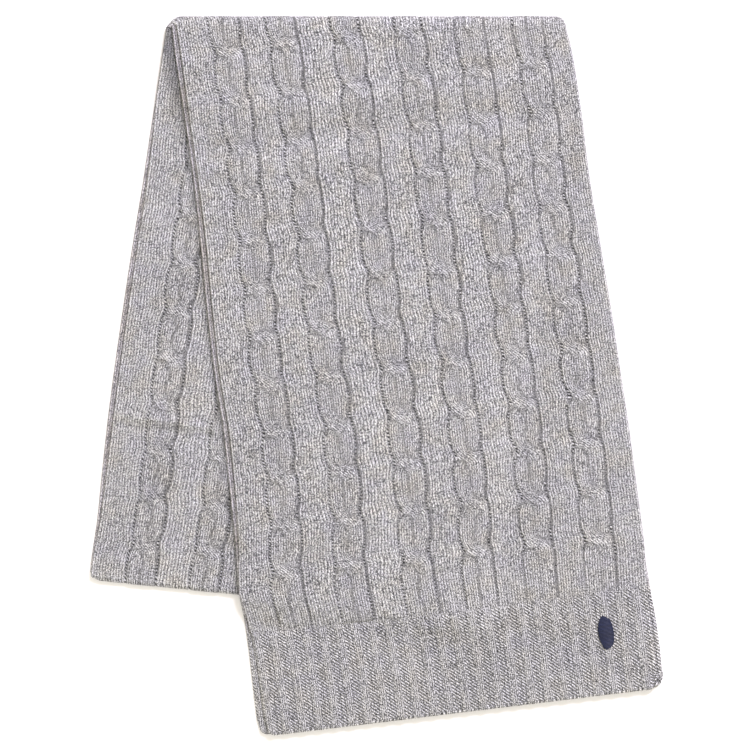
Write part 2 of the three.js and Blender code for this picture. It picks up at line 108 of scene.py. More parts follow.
stack = {
    "foldY": 256.6,
    "foldDepth": 8,
    "foldPull": 4.6,
    "tailFoldDepth": 5,
    "tailFoldPull": 1.5,
    "dropWidth": 24,
    "dropStart": 3,
    "courseTurn": math.cos(math.radians(7)),
    "hemSeam": (-182.5, -148),  # height at the left and right edge
    "seamBow": 2.5,  # how far the seam sags between them
    "seamRelief": 0.15,  # height at the seam, where both knits meet
    "hemEnd": (-256.6, -222.4),
    "tailFold": (-145, -173),
    "swingTop": 382,  # distance above the seam at which rows turn parallel to the fold
    "underHemShort": (1.2, 0.8),
}
flatY = stack["foldY"] - stack["foldDepth"]
layerStep = cloth["thickness"] + cloth["gap"]
restHeight = 2 * layerStep

# Soft creases: troughs are negative, and each fades out at its ends
creases = [
    {"x1": -122, "y1": 189, "x2": 139, "y2": 215, "width": 8, "height": 1.2},
    {"x1": -122, "y1": 166, "x2": 139, "y2": 192, "width": 8, "height": -1.5},
    {"x1": -122, "y1": 147, "x2": 141, "y2": 173, "width": 8, "height": 0.8},
    {"x1": -130, "y1": 188, "x2": 30, "y2": 204, "width": 8, "height": 0.9},
    {"x1": -130, "y1": 165, "x2": 20, "y2": 180, "width": 7, "height": -0.8},
    {"x1": -130, "y1": 146, "x2": 0, "y2": 159, "width": 8, "height": 0.6},
    {"x1": -20, "y1": -86, "x2": 34, "y2": -99, "width": 4.5, "height": -0.45},
    {"x1": 132, "y1": 150, "x2": 96, "y2": -70, "width": 7, "height": 0.5},
    {"x1": 118, "y1": -40, "x2": 112, "y2": -96, "width": 5, "height": 0.35},
    {"x1": -60, "y1": 60, "x2": 10, "y2": 52, "width": 11, "height": -0.3},
    {"x1": 60, "y1": 10, "x2": 150, "y2": 34, "width": 12, "height": -0.35},
    {"x1": -70, "y1": -130, "x2": 40, "y2": -112, "width": 10, "height": -0.3},
]
tailCreases = [
    {"x1": -186.4, "y1": -26.1, "x2": -115.1, "y2": -36.8, "width": 3, "height": 1.3},
    {"x1": -186.4, "y1": -33, "x2": -115.1, "y2": -43, "width": 3.4, "height": -0.9},
    {"x1": -176, "y1": 70, "x2": -124, "y2": 62, "width": 9, "height": -0.3},
]

# The edges by height on the layout, and how far the layer below shows at each side
frontEdges = {
    "y": [257, 240, 198, 142, 96, 44, 0, -34, -77, -121, -155, -174, -196, -222, -257],
    "left": [-143.5, -140.8, -135.1, -127.4, -121.5, -116.5, -111.4, -105.8, -101.0, -98.0,
             -97.3, -92.0, -87.0, -83.0, -78.3],
    "right": [132.5, 137.2, 144.8, 151.9, 159.4, 168.0, 174.5, 179.7, 185.4, 191.0,
              193.4, 195.6, 198.2, 201.4, 205.0],
    "leftShow": [3.0, 4.0, 3.6, 3.2, 4.0, 3.8, 3.6, 3.8, 4.0, 2.4, 0.6, 2.2, 4.0, 5.0, 5.4],
    "rightShow": [-1.2, -1.2, -1.2, -1.2, -1.2, -1.2, -1.2, -1.2, -1.2, -0.6, 2.6, 3.8, 4.2, 3.0, 2.6],
}
tailEdges = {
    "y": [257, 226, 197, 169, 140, 97, 40, -17, -74, -102, -131, -175],
    "left": [-149.0, -153.6, -157.9, -162.1, -166.4, -173.5, -182.1, -190.0, -196.4, -199.2, -203.4, -206.0],
    "right": [132.9, 128.7, 124.7, 120.8, 116.7, 110.8, 102.8, 94.9, 86.9, 83.0, 79.0, 73.0],
    "baseShow": [0.4, 0.5, 0.8, 2.2, 3.0, 3.6, 3.8, 3.8, 3.2, 2.2, 1.0, 0.5],
}


# How each link of each cable differs: when it crosses, and how far its left and right sides come in
linkCast = np.random.default_rng(11).uniform(-1, 1, (6, 24, 3))


def smooth(value, low, high):
    t = np.clip((value - low) / (high - low), 0, 1)
    return t * t * (3 - 2 * t)


def mix(a, b, share):
    return a + (b - a) * share


def edgeAt(table, column, y):
    # A column of a table at height y, on a smooth curve through its rows
    heights = np.array(table["y"], float)
    values = np.array(table[column], float)
    slopes = np.gradient(values, heights)
    i = np.clip(np.searchsorted(-heights, -np.asarray(y, float), side="right") - 1, 0, len(heights) - 2)
    span = heights[i + 1] - heights[i]
    t = np.clip((y - heights[i]) / span, 0, 1)
    a, b = values[i], values[i + 1]
    m, n = slopes[i] * span, slopes[i + 1] * span
    return a + t * (m + t * (3 * (b - a) - 2 * m - n + t * (2 * (a - b) + m + n)))


def lineDistance(line, x, y):
    dx, dy = line["x2"] - line["x1"], line["y2"] - line["y1"]
    return ((x - line["x1"]) * dy - (y - line["y1"]) * dx) / math.hypot(dx, dy)


def creaseHeight(lines, x, y):
    total = 0
    for line in lines:
        dx, dy = line["x2"] - line["x1"], line["y2"] - line["y1"]
        along = ((x - line["x1"]) * dx + (y - line["y1"]) * dy) / (dx * dx + dy * dy)
        fade = smooth(along, -0.12, 0.1) * smooth(1 - along, -0.12, 0.1)
        total = total + line["height"] * fade * np.exp(-((lineDistance(line, x, y) / line["width"]) ** 2))
    return total


tailCorner = (float(edgeAt(tailEdges, "right", stack["tailFold"][1])), stack["tailFold"][1])
tailHeel = (float(edgeAt(tailEdges, "left", stack["tailFold"][0])), stack["tailFold"][0])
tailSide = {"x1": tailEdges["right"][0], "y1": tailEdges["y"][0], "x2": tailCorner[0], "y2": tailCorner[1]}
tailFoot = {"x1": tailHeel[0], "y1": tailHeel[1], "x2": tailCorner[0], "y2": tailCorner[1]}


def support(x, y):
    # 1 where the front lies on the back tail, falling to 0 where it lies on the floor
    side = lineDistance(tailSide, x, y)
    foot = -lineDistance(tailFoot, x, y)
    past = np.hypot(np.minimum(side, 0), np.minimum(foot, 0))
    inside = np.where(past > 0, -past, np.minimum(side, foot))
    return smooth(inside, stack["dropStart"] - stack["dropWidth"], stack["dropStart"])


def frontGround(x, y):
    return restHeight * support(x, y)


def frontUnder(x, y):
    return frontGround(x, y) + layerStep + np.minimum(creaseHeight(creases, x, y), 0)


def alongFront(u, y):
    return (y - mix(stack["hemSeam"][0], stack["hemSeam"][1], u)) / stack["courseTurn"]


def alongTail(u, y):
    start = mix(stack["tailFold"][0], stack["tailFold"][1], u) + stack["tailFoldDepth"]
    return (y - start) / stack["courseTurn"]


def seamBow(u):
    return stack["seamBow"] * 4 * u * (1 - u)


def crown(t, power=2.4):
    return np.sqrt(np.maximum(0, 1 - np.abs(t) ** power))


def hookLine(b):
    # Phase up to which the left strand shows before it dives under, at b from -1 to 0
    t = np.abs(b + 0.6)
    return cable["hook"] - np.where(b > -0.6, 0.2 * (t / 0.6) ** 2.2, 0.03 * (t / 0.4) ** 2)


def strandLevel(b, p, bow, cast):
    # How raised the cable is at b, from -1 to 1 across it, and phase p; and which strand shows
    leftB = np.where(b < 0, b, -b)
    leftP = np.where(b < 0, p, cable["crossing"] - p)
    fromHook = leftP - hookLine(leftB)
    over = fromHook >= 0
    raised = mix(1 + cable["over"] * bow, 0.6, smooth(fromHook, 0.2, 0.55))
    under = np.where(b < 0, cable["under"] + 0.3 * cast, cable["underRight"])
    diving = mix(0.6, under, smooth(fromHook, -cable["dive"], 0))
    raised = np.where(b < 0, raised, mix(under, raised, smooth(fromHook, 0, 0.12)))
    return np.where(over, raised, diving), over


def cabledKnit(u, s, width, centres, start, waists, firstLink=-99):
    # Height, stitch coordinates and purl share of a cabled stretch, at share u across and s along
    phase = (s - start) / cable["period"]
    link = np.floor(phase + 0.32)
    half = cable["width"] / 2
    height = np.zeros_like(u)
    across = np.zeros_like(u)
    along = s / cloth["course"]
    purl = np.zeros_like(u)
    edge = 0 * u
    waleStart = 0
    for number, middle in enumerate([*centres, None]):
        if middle is not None:
            cast = linkCast[number][link.astype(int) % len(linkCast[number])]
            p = phase - link + cable["uneven"] * cast[..., 0]
            p = np.where(link < firstLink, 0.6, p)
            pinch = [side[0] * np.exp(-(((p - side[1]) / cable["waistLength"]) ** 2)) for side in waists]
            pinch = [pinch[0] * (1 + 0.35 * cast[..., 1]), pinch[1] * (1 + 0.35 * cast[..., 2])]
            low, high = pinch[0] - 1, 1 - pinch[1]
            ladderLeft = low - cable["ladder"] - cable["fan"] * pinch[0]
            ladderRight = high + cable["ladder"] + cable["fan"] * pinch[1]
        bandEnd = 1 + 0 * u if middle is None else middle + half * ladderLeft
        band = (u >= edge) & (u <= bandEnd)
        share = np.clip((u - edge) / (bandEnd - edge), 0, 1)
        height = np.where(band, 0.3 * crown(2 * share - 1, 4) - 0.05, height)
        across = np.where(band, waleStart + share * cloth["bandWales"][number], across)
        waleStart += cloth["bandWales"][number] + 1
        if middle is None:
            break
        q = np.clip(p / cable["crossing"], 0, 1)
        path = 0.5 - smooth(q, 0, 1)
        lean = np.arctan(6 * q * (1 - q) / cable["crossing"] * half * width / cable["period"])
        a = (u - middle) / half
        b = 2 * (a - low) / (high - low) - 1
        inside = np.abs(b) <= 1
        level, over = strandLevel(b, p, np.sin(np.pi * q), cast[..., 1])
        strandMiddle = np.where(over, path, -path)
        fromStrand = b - strandMiddle
        wale = waleStart + cloth["strandWales"] * (fromStrand * np.cos(lean) + 0.5)
        shear = np.where(over, -1, 1) * np.sin(lean) * np.cos(lean) * fromStrand * half * width
        onLadder = (a >= ladderLeft) & (a <= ladderRight) & ~inside
        ladderLow = np.where(a < 0, ladderLeft, high)
        ladderHigh = np.where(a < 0, low, ladderRight)
        ladderShare = np.clip((a - ladderLow) / (ladderHigh - ladderLow), 0, 1)
        pitDepth = cable["ladderDepth"] * (1 + 0.3 * np.sin(s / 7 + 2.1 * number))
        pit = -pitDepth * np.sin(np.pi * ladderShare) ** 0.5
        strandHeight = (cable["base"] + cable["rise"] * level) * crown(b, 3.5)
        height = np.where(inside, strandHeight, np.where(onLadder, pit, height))
        across = np.where(inside, wale, np.where(onLadder, waleStart - 0.75 + ladderShare * 0.5, across))
        along = np.where(inside, along + shear / cloth["course"], along)
        rungShift = 0.37 * number + 0.5 * (a > 0) + 0.25 * np.sin(s / 9 + number)
        along = np.where(onLadder, along + rungShift, along)
        purl = np.where(onLadder, 1, purl)
        waleStart += cloth["strandWales"] + 2
        edge = middle + half * ladderRight
    return height, across, along, purl


def ribKnit(u, s):
    # The same for a ribbed hem: two raised knit columns, then two purl ones
    step = u * rib["count"]
    place = step - np.floor(step)
    raised = smooth(place, 0.02, 0.2) * smooth(1 - place, 0.38, 0.56)
    fadeIn = smooth(-s - seamBow(u), 0, rib["seamFade"])
    knitMiddle = np.exp(-(((place - 0.3) / 0.03) ** 2))
    height = rib["rise"] * (raised - rib["split"] * knitMiddle) * fadeIn + stack["seamRelief"] * (1 - fadeIn)
    return height, step * 4, s / cloth["course"], (1 - smooth(raised, 0.3, 0.7)) * fadeIn


def cornerPull(fromSide):
    radius = cloth["cornerRadius"]
    bare = np.clip(radius - fromSide, 0, radius)
    return radius - np.sqrt(radius ** 2 - bare ** 2)


def rimRolls(count=6):
    # Angles round a cut edge, from its underside to its top
    return [math.radians(-90 + 180 * i / count) for i in range(count + 1)]


def columnSet(shares, left=True, right=True):
    # Columns across a layer: round its left edge, over it, and round its right edge
    radius = cloth["edgeRound"]
    rolls = rimRolls()
    rim = [{"inset": cloth["tuck"], "roll": rolls[0]}]
    rim += [{"inset": radius * (1 - math.cos(roll)), "roll": roll} for roll in rolls]
    columns = []
    if left:
        columns += [dict(place, side=-1) for place in rim]
    columns += [{"share": share, "roll": math.pi / 2, "side": 0} for share in shares]
    if right:
        columns += [dict(place, side=1) for place in reversed(rim)]
    return columns


def layerGrid(layer, rows, columns):
    # Outer and inner points of a layer, with its stitch coordinates, as grids of rows by columns
    column = lambda key, missing: np.array([c.get(key, missing) for c in columns], float)[None, :]
    row = lambda key, missing: np.array([r.get(key, missing) for r in rows], float)[:, None]
    rowLeft, rowRight = row("left", 0), row("right", 0)
    bend, rowRoll = row("bend", math.pi / 2), row("roll", math.pi / 2)
    depth, low, toward = row("depth", 0), row("low", 0), row("toward", 1)
    mostPull, pull, rowInset = row("mostPull", 0), row("pull", 0), row("inset", 0)
    turn = (1 - np.sin(bend)) / 2
    xLeft = mix(layer["left"](rowLeft), layer.get("leftBelow", layer["left"])(rowLeft), turn)
    xRight = layer["right"](rowRight)
    width = xRight - xLeft
    side = column("side", 0)
    inset = column("inset", 0)
    u = np.where(side == 0, column("share", 0), np.where(side < 0, inset / width, 1 - inset / width))
    x = xLeft + u * width
    spine = layer.get("spine", layer)
    spineLeft, spineRight = spine["left"](rowLeft), spine["right"](rowRight)
    spineShare = (x - spineLeft) / (spineRight - spineLeft)
    flat = mix(rowLeft, rowRight, spineShare) - row("bow", 0) * seamBow(np.clip(spineShare, 0, 1))
    fromSide = np.minimum(u, 1 - u) * width if layer.get("rightCorner", True) else u * width
    corner = cornerPull(fromSide)
    top = layer["top"](x, flat)
    relief, across, along, purl = layer["knit"](u, flat, width)
    edgeFade = np.clip(fromSide / cloth["edgeRound"], 0, 1)
    relief = (relief + layer.get("creases", lambda x, y: 0)(x, flat)) * edgeFade
    relief = relief * mix(cloth["foldRelief"], 1, smooth(np.sin(bend), 0, 1))
    over = np.sin(bend)
    out = (depth - np.minimum(corner, mostPull) + relief * (depth > 0)) * np.cos(bend)
    y = flat + toward * out + pull * corner + rowInset * pull
    z = low + (top - low) / 2 * (1 + over) + relief * np.maximum(0, over)
    radius = cloth["thickness"] / 2
    under = radius * (1 - np.minimum(np.sin(column("roll", math.pi / 2)), np.sin(rowRoll)))
    normalY, normalZ = toward * np.cos(bend), over
    outer = np.stack([x + 0 * z, y - under * normalY, z - under * normalZ], axis=-1)
    thick = cloth["thickness"] + relief * np.maximum(0, over)
    inner = np.stack([x + 0 * z, y - thick * normalY, z - thick * normalZ], axis=-1)
    along = along + toward * (top - low) / 2 * (math.pi / 2 - bend) / cloth["course"]
    return outer, inner, across, along, purl + 0 * u


# Painted shade beside the front's left edge, multiplied into the cloth's colour: a soft rim, and a deeper,
# wider one up by the top fold
shade = {"depth": 0.36, "width": 3.4, "topDepth": 0.5, "topWidths": (4, 13), "topHeights": (150, 225)}


def reachOfLight(outer, stripShade):
    # Painted shade: how much of the colour is kept beside the front's left edge, or on the strip of the base
    x, y = outer[..., 0], outer[..., 1]
    past = edgeAt(frontEdges, "left", y) - edgeAt(frontEdges, "leftShow", y) - x
    narrow, wide = shade["topWidths"]
    edgeShade = mix(1 - shade["depth"] * np.exp(-((np.maximum(past, 0) / shade["width"]) ** 2)),
                 1 - shade["topDepth"] * smooth(past, wide, narrow), smooth(y, *shade["topHeights"]))
    return edgeShade * (stripShade if past.mean() > 0 else 1)


def cavityOf(outer, reach=3):
    # How far each point lies below the mean of those around it, in millimetres
    z = outer[..., 2]
    total = np.zeros_like(z)
    for dr in range(-reach, reach + 1):
        for dc in range(-reach, reach + 1):
            rows = np.clip(np.arange(z.shape[0]) + dr, 0, z.shape[0] - 1)
            cols = np.clip(np.arange(z.shape[1]) + dc, 0, z.shape[1] - 1)
            total += z[np.ix_(rows, cols)]
    return total / (2 * reach + 1) ** 2 - z


def addObject(name, data):
    made = bpy.data.objects.new(name, data)
    bpy.context.scene.collection.objects.link(made)
    return made


def shellMesh(name, grids, wallRows=(False, False), wallColumns=(False, False), coarse=(14, 10), stripShade=None):
    # A closed shell: the fine outer grid, and a coarse underside that shares its rim
    outer, inner, across, along, purl = grids
    # The point attribute light carries the painted shade beside the front's edge and on the base strip
    light = np.ones_like(across) if stripShade is None else reachOfLight(outer, stripShade)
    fields = [outer, inner, across, along, purl, cavityOf(outer), light]
    for axis, walls in ((0, wallRows), (1, wallColumns)):
        for side, wanted in zip((0, -1), walls):
            if not wanted:
                continue
            rim = [np.take(grid, [side], axis=axis) for grid in [fields[1], *fields[1:]]]
            fields = [np.concatenate([end, grid] if side == 0 else [grid, end], axis=axis)
                      for end, grid in zip(rim, fields)]
    outer, inner, across, along, purl, cavity, light = fields
    rowCount, columnCount = across.shape
    index = np.arange(rowCount * columnCount).reshape(rowCount, columnCount)
    quads = np.stack([index[:-1, :-1], index[1:, :-1], index[1:, 1:], index[:-1, 1:]], axis=-1).reshape(-1, 4)
    keepRows = sorted(set(range(0, rowCount, coarse[0])) | {rowCount - 1})
    keepColumns = sorted(set(range(0, columnCount, coarse[1])) | {columnCount - 1})
    points = [outer.reshape(-1, 3)]
    extra = {}
    for r in keepRows[1:-1]:
        for c in keepColumns[1:-1]:
            extra[r, c] = rowCount * columnCount + len(extra)
    if extra:
        places = np.array(list(extra))
        points.append(inner[places[:, 0], places[:, 1]])
    corner = lambda r, c: extra.get((r, c), int(index[r, c]))
    faces = [tuple(int(v) for v in quad) for quad in quads]
    for r0, r1 in zip(keepRows[:-1], keepRows[1:]):
        for c0, c1 in zip(keepColumns[:-1], keepColumns[1:]):
            loop = [corner(r0, c0)]
            loop += [int(index[r0, c]) for c in range(c0 + 1, c1)] if r0 == 0 else []
            loop.append(corner(r0, c1))
            loop += [int(index[r, c1]) for r in range(r0 + 1, r1)] if c1 == columnCount - 1 else []
            loop.append(corner(r1, c1))
            loop += [int(index[r1, c]) for c in range(c1 - 1, c0, -1)] if r1 == rowCount - 1 else []
            loop.append(corner(r1, c0))
            loop += [int(index[r, c0]) for r in range(r1 - 1, r0, -1)] if c0 == 0 else []
            faces.append(tuple(loop))
    spread = lambda grid: np.concatenate([grid.reshape(-1), [grid[r, c] for r, c in extra]])
    vertices = (np.concatenate(points) + np.array([*layoutShift, 0])) * mm
    mesh = bpy.data.meshes.new(name)
    mesh.from_pydata(vertices.tolist(), [], faces)
    loops = np.empty(len(mesh.loops), int)
    mesh.loops.foreach_get("vertex_index", loops)
    stitch = np.stack([spread(across), spread(along)], axis=-1)[loops]
    mesh.uv_layers.new(name="stitch").data.foreach_set("uv", stitch.astype(np.float32).reshape(-1))
    for key, grid in (("purl", purl), ("cavity", cavity), ("light", light)):
        attribute = mesh.attributes.new(key, "FLOAT", "POINT")
        attribute.data.foreach_set("value", spread(grid).astype(np.float32))
    mesh.polygons.foreach_set("use_smooth", np.ones(len(mesh.polygons), bool))
    mesh.set_sharp_from_angle(angle=math.radians(cloth["sharpAngle"]))
    mesh.validate()
    return addObject(name, mesh)


def spaced(start, end, step):
    count = max(1, round(abs(end - start) / step))
    return [start + (end - start) * i / count for i in range(count)]


def cabledShares(width, centres, last=1.0, fine=1.3, plain=1.7):
    # Places across, closest in the purl lines
    half = cable["width"] / 2
    rim = cloth["rimMargin"]
    shares = []
    edge = rim / width
    for middle in centres:
        ladder = half * cable["ladder"]
        shares += spaced(edge, middle - half - ladder, plain / width)
        for low, high, count in ((-half - ladder, -half, 3), (-half, half, None), (half, half + ladder, 3)):
            step = (high - low) / count if count else fine / width
            shares += spaced(middle + low, middle + high, step)
        edge = middle + half + ladder
    shares += spaced(edge, last - rim / width, plain / width) + [last - rim / width]
    return shares


def frontLevel(s):
    turn = s * stack["courseTurn"]
    return {"left": stack["hemSeam"][0] + turn, "right": stack["hemSeam"][1] + turn}


def foldRows(depth, low, toward, mostPull, line, steps):
    angles = [math.radians(-90 + 180 * i / steps) for i in range(steps)]
    shared = dict(line, depth=depth, low=low, toward=toward, mostPull=mostPull)
    return [dict(shared, bend=angle) for angle in angles]


def frontRows(step, foldSteps, depth, low):
    # Rows of a front layer, from the lower side of the top fold down to the hem seam
    line = {"left": flatY, "right": flatY}
    swing = frontLevel(stack["swingTop"])
    rows = foldRows(depth, low, 1, stack["foldPull"], line, foldSteps)
    count = round((flatY - swing["left"]) / step)
    for i in range(count):
        rows.append({key: mix(flatY, swing[key], i / count) for key in ("left", "right")})
    count = round(stack["swingTop"] / step)
    for i in range(count + 1):
        s = stack["swingTop"] * (1 - i / count)
        rows.append(dict(frontLevel(s), bow=float(smooth(s, 50, 0))))
    return rows


def hemRows(step, short=(0, 0)):
    # Rows of a hem, from the seam down to its rounded end
    start = {"left": stack["hemSeam"][0], "right": stack["hemSeam"][1]}
    end = {"left": stack["hemEnd"][0] + short[0], "right": stack["hemEnd"][1] + short[1]}
    length = stack["hemSeam"][0] - stack["hemEnd"][0] - cloth["rimMargin"]
    count = round(length / step)
    rows = []
    for i in range(count + 1):
        share = i / count
        row = {key: mix(start[key], end[key] + cloth["rimMargin"], share) for key in start}
        rows.append(dict(row, pull=float(smooth(share, 0.86, 1)), bow=float(smooth(share, 0.6, 0))))
    for roll in reversed(rimRolls()):
        inset = cloth["edgeRound"] * (1 - math.cos(roll))
        rows.append(dict(end, pull=1, inset=inset, roll=roll))
    rows.append(dict(end, pull=1, inset=cloth["tuck"], roll=rimRolls()[0]))
    return rows


def tailRows(step, foldSteps, line):
    top = flatY - 0.5
    ends = {"left": stack["tailFold"][0] + stack["tailFoldDepth"],
            "right": stack["tailFold"][1] + stack["tailFoldDepth"]}
    count = round((top - ends["left"]) / step)
    rows = [{key: mix(top, ends[key], i / count) for key in ("left", "right")} for i in range(count)]
    if not foldSteps:
        return rows + [{key: ends[key] + line for key in ends}]
    bends = foldRows(stack["tailFoldDepth"], 0, -1, stack["tailFoldPull"], ends, foldSteps)
    return rows + [dict(ends)] + list(reversed(bends))


def frontKnit(u, y, width):
    s = alongFront(u, y)
    blend = np.clip(s / cable["spreadLength"], 0, 1)
    centres = [mix(low, high, blend) for low, high in zip(cable["hemCentres"], cable["topCentres"])]
    first = mix(cable["frontStart"][0], cable["frontStart"][1], u)
    height, across, along, purl = cabledKnit(u + 0 * y, s, width, centres, first, cable["frontWaists"], 0)
    fadeIn = smooth(s + seamBow(u), 0, cable["seamFade"])
    return mix(stack["seamRelief"], height, fadeIn), across, along, purl


def tailKnit(u, y, width):
    centres = [c + 0 * y for c in cable["tailCentres"]]
    return cabledKnit(u + 0 * y, alongTail(u, y), width, centres, cable["tailStart"], cable["tailWaists"])


def plainKnit(u, y, width):
    return 0.1 + 0 * u * y, u * cloth["plainWales"] + 0 * y, alongFront(u, y) / cloth["course"], 0 * u * y


topLayer = {
    "left": lambda y: edgeAt(frontEdges, "left", y),
    "leftBelow": lambda y: edgeAt(tailEdges, "left", y),
    "right": lambda y: edgeAt(frontEdges, "right", y),
    "top": lambda x, y: frontUnder(x, y) + cloth["thickness"],
    "creases": lambda x, y: np.maximum(creaseHeight(creases, x, y), 0),
    "knit": frontKnit,
}
lowerLayer = {
    "spine": topLayer,
    "left": lambda y: topLayer["left"](y) - edgeAt(frontEdges, "leftShow", y),
    "leftBelow": topLayer["leftBelow"],
    "right": lambda y: topLayer["right"](y) + edgeAt(frontEdges, "rightShow", y),
    "top": lambda x, y: frontUnder(x, y) - cloth["gap"],
    "knit": plainKnit,
}
hemKnit = lambda u, y, width: ribKnit(u + 0 * y, alongFront(u, y))
tailLeft = lambda y: edgeAt(tailEdges, "left", y)
tailRight = lambda y: edgeAt(tailEdges, "right", y)
tailLayer = {
    "spine": {"left": tailLeft, "right": tailRight},
    "left": lambda y: tailLeft(y) + edgeAt(tailEdges, "baseShow", y),
    "right": tailRight,
    "rightCorner": False,
    "top": lambda x, y: layerStep + cloth["thickness"] + 0 * x,
    "creases": lambda x, y: creaseHeight(tailCreases, x, y),
    "knit": tailKnit,
}
baseLayer = {
    "spine": {"left": tailLeft, "right": tailRight},
    "left": tailLeft,
    "right": tailRight,
    "top": lambda x, y: cloth["thickness"] + 0 * x,
    "knit": plainKnit,
}

# Pieces
frontWidth = 285
tailWidth = 282
tailShown = 0.44  # share of the tail's width that the fine sheet covers
middleCentres = [mix(a, b, 0.5) for a, b in zip(cable["topCentres"], cable["hemCentres"])]
frontColumns = columnSet(cabledShares(frontWidth, middleCentres))
frontPanel = shellMesh(
    "frontPanel", layerGrid(topLayer, frontRows(1.45, 20, stack["foldDepth"], 0), frontColumns),
    wallRows=(True, True))
print("front panel", len(frontPanel.data.polygons))

ribPoints = rib["count"] * rib["points"]
ribShares = [i / ribPoints for i in range(2, ribPoints - 1)]
frontHem = shellMesh(
    "frontHem", layerGrid(dict(topLayer, knit=hemKnit), hemRows(1.2), columnSet(ribShares)),
    wallRows=(True, False))
underHem = shellMesh(
    "underHem", layerGrid(dict(lowerLayer, knit=hemKnit), hemRows(2.4, stack["underHemShort"]),
                          columnSet(ribShares)),
    wallRows=(True, False))
print("hems", len(frontHem.data.polygons), len(underHem.data.polygons))

plainShares = spaced(0.01, 0.99, 0.015) + [0.99]
middleLayer = shellMesh(
    "middleLayer",
    layerGrid(lowerLayer, frontRows(3, 12, stack["foldDepth"] - layerStep, layerStep),
              columnSet(plainShares)),
    wallRows=(True, True))

shownShares = cabledShares(tailWidth, cable["tailCentres"][:2], tailShown, plain=1.4)
backTail = shellMesh(
    "backTail", layerGrid(tailLayer, tailRows(1.3, 16, 0), columnSet(shownShares, right=False)),
    wallRows=(True, True), wallColumns=(False, True), stripShade=1)
hiddenShares = spaced(tailShown, 0.99, 0.02) + [0.99]
hiddenTail = shellMesh(
    "hiddenTail",
    layerGrid(dict(tailLayer, knit=plainKnit, rightCorner=True), tailRows(4, 10, 0),
              columnSet(hiddenShares, left=False)),
    wallRows=(True, True), wallColumns=(True, False), coarse=(4, 4))
# The base cloth's strip is painted in shade, at 0.6 of its colour
baseCloth = shellMesh(
    "baseCloth", layerGrid(baseLayer, tailRows(4, 0, cloth["gap"]), columnSet(plainShares)),
    wallRows=(True, True), coarse=(4, 4), stripShade=0.6)
print("tail", len(backTail.data.polygons), len(hiddenTail.data.polygons), len(baseCloth.data.polygons))


# A plain upright oval of satin stitch, in millimetres and degrees
motif = {
    "x": 163.6,
    "y": -182.5,
    "width": 11,
    "height": 25,
    "rise": 0.9,  # how far its middle stands above its rim
    "sunk": 0.2,  # how far its rim sits in the ribs
    "tilt": 8,
    "thread": 0.95,  # width of a thread, as coarse as the photograph could show
    "fray": 0.01,
    "frays": 23,
}


def motifMesh(rings=14, spokes=96):
    # Domed, on the hem's ribs: rings from the rim to the tip, then the rim of the underside
    tilt = math.radians(motif["tilt"])
    places = [(1 - ring / rings, spoke, "top") for ring in range(rings) for spoke in range(spokes)]
    places += [(0, 0, "top")] + [(1, spoke, "under") for spoke in range(spokes)]
    points, uvs = [], []
    for share, spoke, layer in places:
        angle = 2 * math.pi * spoke / spokes
        fray = 1 + motif["fray"] * math.sin(motif["frays"] * angle) * share
        a = motif["width"] / 2 * share * fray * math.cos(angle)
        b = motif["height"] / 2 * share * math.sin(angle)
        x = motif["x"] + a * math.cos(tilt) - b * math.sin(tilt)
        y = motif["y"] + a * math.sin(tilt) + b * math.cos(tilt)
        rest = float(frontUnder(x, y)) + cloth["thickness"]
        domed = rib["rise"] - motif["sunk"] + motif["rise"] * (1 - share ** 3)
        points.append((x, y, rest + (domed if layer == "top" else motif["sunk"])))
        uvs.append((a, b / motif["thread"]))
    following = lambda spoke: (spoke + 1) % spokes
    faces = []
    for low in range(0, (rings - 1) * spokes, spokes):
        high = low + spokes
        faces += [(low + spoke, low + following(spoke), high + following(spoke), high + spoke)
                  for spoke in range(spokes)]
    tip, last, under = rings * spokes, (rings - 1) * spokes, rings * spokes + 1
    faces += [(last + spoke, last + following(spoke), tip) for spoke in range(spokes)]
    faces += [(spoke, under + spoke, under + following(spoke), following(spoke)) for spoke in range(spokes)]
    faces.append(tuple(under + spoke for spoke in reversed(range(spokes))))
    mesh = bpy.data.meshes.new("motif")
    vertices = (np.array(points) + np.array([*layoutShift, 0])) * mm
    mesh.from_pydata(vertices.tolist(), [], faces)
    loops = np.empty(len(mesh.loops), int)
    mesh.loops.foreach_get("vertex_index", loops)
    mesh.uv_layers.new(name="thread").data.foreach_set("uv", np.array(uvs, np.float32)[loops].reshape(-1))
    mesh.polygons.foreach_set("use_smooth", np.ones(len(mesh.polygons), bool))
    return addObject("motif", mesh)


motifPatch = motifMesh()


# Materials
def linear(hexColour):
    # An sRGB hex colour as the linear values that a shader takes
    channels = [int(hexColour[i:i + 2], 16) / 255 for i in (1, 3, 5)]
    return [c / 12.92 if c <= 0.04045 else ((c + 0.055) / 1.055) ** 2.4 for c in channels] + [1]


def addNode(tree, kind, *values, inputs=None, **settings):
    # Adds a node, with its settings, and links or sets its inputs in order or by name
    made = tree.nodes.new(kind)
    for key, value in settings.items():
        setattr(made, key, value)
    for key, value in [*enumerate(values), *(inputs or {}).items()]:
        if isinstance(value, bpy.types.NodeSocket):
            tree.links.new(value, made.inputs[key])
        else:
            made.inputs[key].default_value = value
    return made


def emptyMaterial(name):
    # A material without nodes, its tree, and a function that adds a sum to the tree
    material = bpy.data.materials.new(name)
    material.use_nodes = True
    tree = material.node_tree
    tree.nodes.clear()
    calc = lambda operation, *values: addNode(tree, "ShaderNodeMath", *values, operation=operation).outputs[0]
    return material, tree, calc


